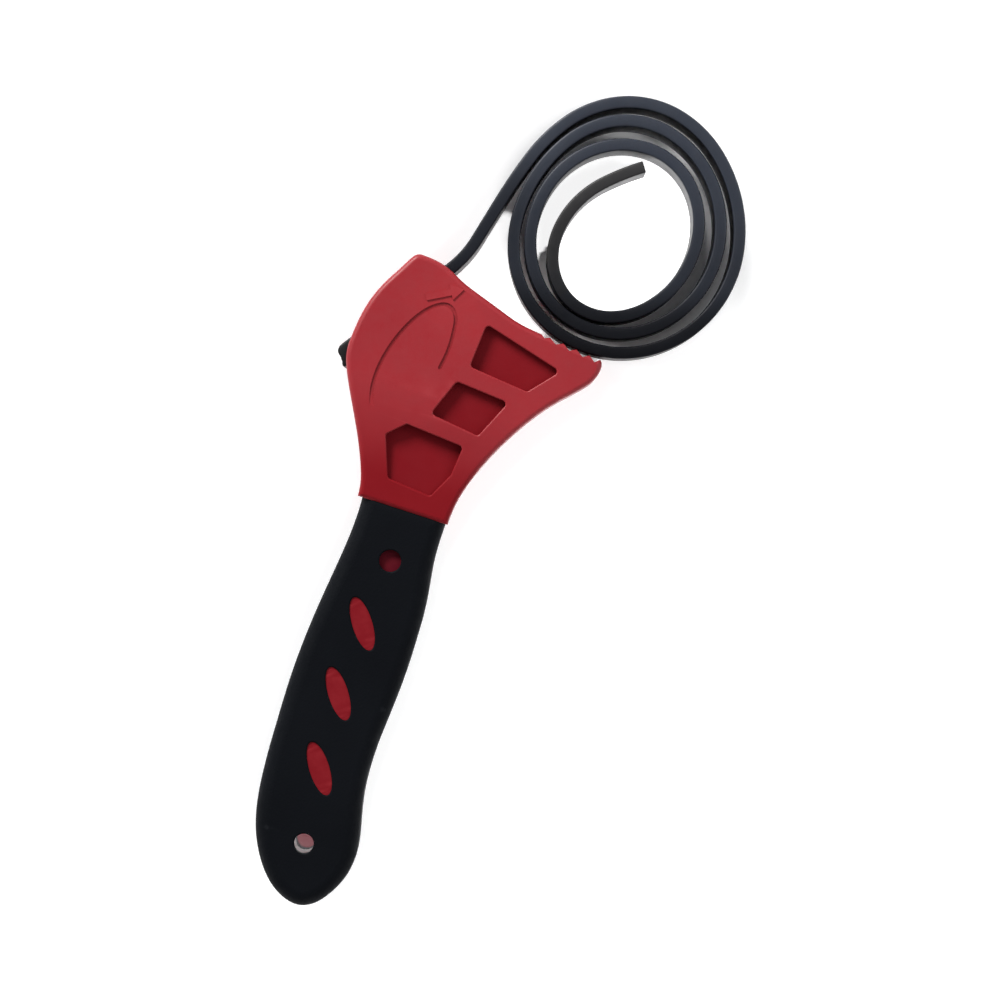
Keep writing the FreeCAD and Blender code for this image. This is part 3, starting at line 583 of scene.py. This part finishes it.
def glow_amounts(points):
    """Painted light on the paper: it glows white inside the innermost turn and in the open corner
    between the strap and the head; the narrow gaps between the turns get no glow and stay in
    shade."""
    x, y = points[:, 0], points[:, 1]
    away = np.hypot(x - COIL_CENTRE[0], y - COIL_CENTRE[1])
    inner_turn = inside(points, centre_line(34, 50))
    # the open corner: right of a slanting line, left of x = 15 and outside the coil
    corner = ((x > -8.6 + (y - 138.0) * 0.39) & (x < 15.0)
              & (y > 130.0) & (y < 160.0) & (away > 27.0))
    clearance = nearest(points, centre_line(1, len(LINKS)))
    centres = points[(clearance > GLOW_DISC + HALF_THICK) & corner]
    reach = nearest(points, centres) - GLOW_DISC
    # full within 0.2 mm of the discs, then fading out over 1.1 mm
    amount = np.maximum(inner_turn, np.clip(1.0 - (reach - 0.2) / 1.1, 0.0, 1.0))
    amount[y < 129.5] = 0.0
    # painted light: a little glow everywhere round the coil keeps the shadows there faint
    return np.maximum(amount, 0.34 * np.clip((away - 28.0) / 3.5, 0.0, 1.0))


def build_floor():
    grid_x, grid_y = np.meshgrid(grid_lines(-14.0, 56.0), grid_lines(128.0, 190.0))
    rows, columns = grid_x.shape
    points = np.stack([grid_x.ravel(), grid_y.ravel()], 1)
    corners = [row * columns + column for row in range(rows - 1) for column in range(columns - 1)]
    mesh = bpy.data.meshes.new("floor")
    mesh.from_pydata([(x * MM, y * MM, FLOOR_Z) for x, y in points], [],
                     [(c, c + 1, c + columns + 1, c + columns) for c in corners])
    glow = mesh.attributes.new("painted_glow_amount", "FLOAT", "POINT")
    glow.data.foreach_set("value", glow_amounts(points).astype(np.float32))
    floor = bpy.data.objects.new("floor", mesh)
    scene.collection.objects.link(floor)
    mesh.materials.append(floor_paper())
    floor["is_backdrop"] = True
    return floor


floor = build_floor()


# ------------------------------------------------------------------ world and lights
def build_world():
    """A dim ceiling with a bright band low all round: narrow gaps stay dark and flat
    faces seen from above don't wash out."""
    world = bpy.data.worlds.new("studio")
    scene.world = world
    world.use_nodes = True
    shader = Shader(world.node_tree, coords="Generated")
    ramp = shader.node("ValToRGB", {"Fac": shader.axis("Z")})
    stops = ramp.color_ramp.elements
    stops[0].position, stops[0].color = 0.0, (1.0, 1.0, 1.0, 1)
    stops[1].position, stops[1].color = 1.0, (0.05, 0.05, 0.055, 1)
    # height of the direction and brightness there
    for height, value in ((0.30, 1.0), (0.60, 0.80), (0.93, 0.75), (0.972, 0.05)):
        stops.new(height).color = (value, value, value * 1.02, 1)
    shader.fill(world.node_tree.nodes["Background"],
                {"Color": ramp.outputs["Color"], "Strength": 0.52})


def lit_group(name, members):
    group = bpy.data.collections.new(name)
    for member in members:
        group.objects.link(member)
    return group


def new_light(name, kind, receivers, **settings):
    """A light that falls only on the receivers."""
    light = bpy.data.lights.new(name, kind)
    for key, value in settings.items():
        setattr(light, key, value)
    lamp = bpy.data.objects.new(name, light)
    scene.collection.objects.link(lamp)
    lamp.light_linking.receiver_collection = receivers
    return lamp


def area_light(name, receivers, right, up, high, **settings):
    """A disc aimed at the view's centre, placed from there along the view's axes."""
    lamp = new_light(name, "AREA", receivers, shape="DISK", **settings)
    lamp.location = VIEW_CENTRE + VIEW_RIGHT * right + VIEW_UP * up + Vector((0, 0, high))
    lamp.rotation_euler = (VIEW_CENTRE - lamp.location).to_track_quat("-Z", "Y").to_euler()
    return lamp


def build_lights():
    tool = lit_group("lit_object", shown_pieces())
    paper = lit_group("lit_floor", [floor])
    handle = lit_group("lit_handle", [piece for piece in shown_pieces()
                                      if not piece.name.lower().startswith("strap")])
    area_light("key", tool, right=-0.42, up=0.62, high=0.46,
               size=0.34, energy=8.5, color=(1.0, 0.985, 0.965))
    area_light("fill", tool, right=0.70, up=0.15, high=0.75,
               size=0.7, energy=2.2, color=(0.94, 0.97, 1.0))
    # below the paper, for the back of the handle only; the paper doesn't block it
    under = area_light("under", handle, right=0.0, up=0.0, high=-0.8,
                       size=0.5, energy=1.6, color=(0.98, 0.99, 1.0))
    under.light_linking.blocker_collection = tool

    # four steep suns lift the paper to white round the tool; they lie across the widest
    # gaps of the coil, so that those stay dark
    tilt = 0.38
    for i, bearing in enumerate((112.0, 158.0, 292.0, 338.0)):
        sun = new_light("paper_%d" % i, "SUN", paper, energy=0.90, angle=math.radians(12))
        turn = VIEW_TURN + math.radians(bearing)
        towards = Vector((math.cos(turn) * math.sin(tilt), math.sin(turn) * math.sin(tilt),
                          math.cos(tilt)))
        sun.rotation_euler = towards.to_track_quat("Z", "Y").to_euler()

    # straight down through the hang hole, so that it reads as open
    hole = new_light("hole", "SPOT", paper, energy=7.0, color=(1.0, 0.17, 0.22),
                     spot_size=math.radians(1.2), spot_blend=0.5, shadow_soft_size=0.004)
    hole.location = (0, 0, 1.0)


# ------------------------------------------------------------------ camera
def build_camera():
    """Straight above the tool, turned so that the view's up is VIEW_UP."""
    distance = 1.0
    focus_height = 0.008
    view_width = 0.2325
    data = bpy.data.cameras.new("camera")
    camera = bpy.data.objects.new("camera", data)
    scene.collection.objects.link(camera)
    data.sensor_width = 36.0
    data.lens = data.sensor_width * distance / view_width
    data.clip_start, data.clip_end = 0.05, 20
    camera.location = VIEW_CENTRE + Vector((0, 0, focus_height + distance))
    camera.rotation_euler = (0, 0, VIEW_TURN)
    scene.camera = camera


build_world()
build_lights()
build_camera()
scene.view_settings.view_transform = "Standard"
scene.view_settings.look = "None"
scene.view_settings.exposure = 0.0
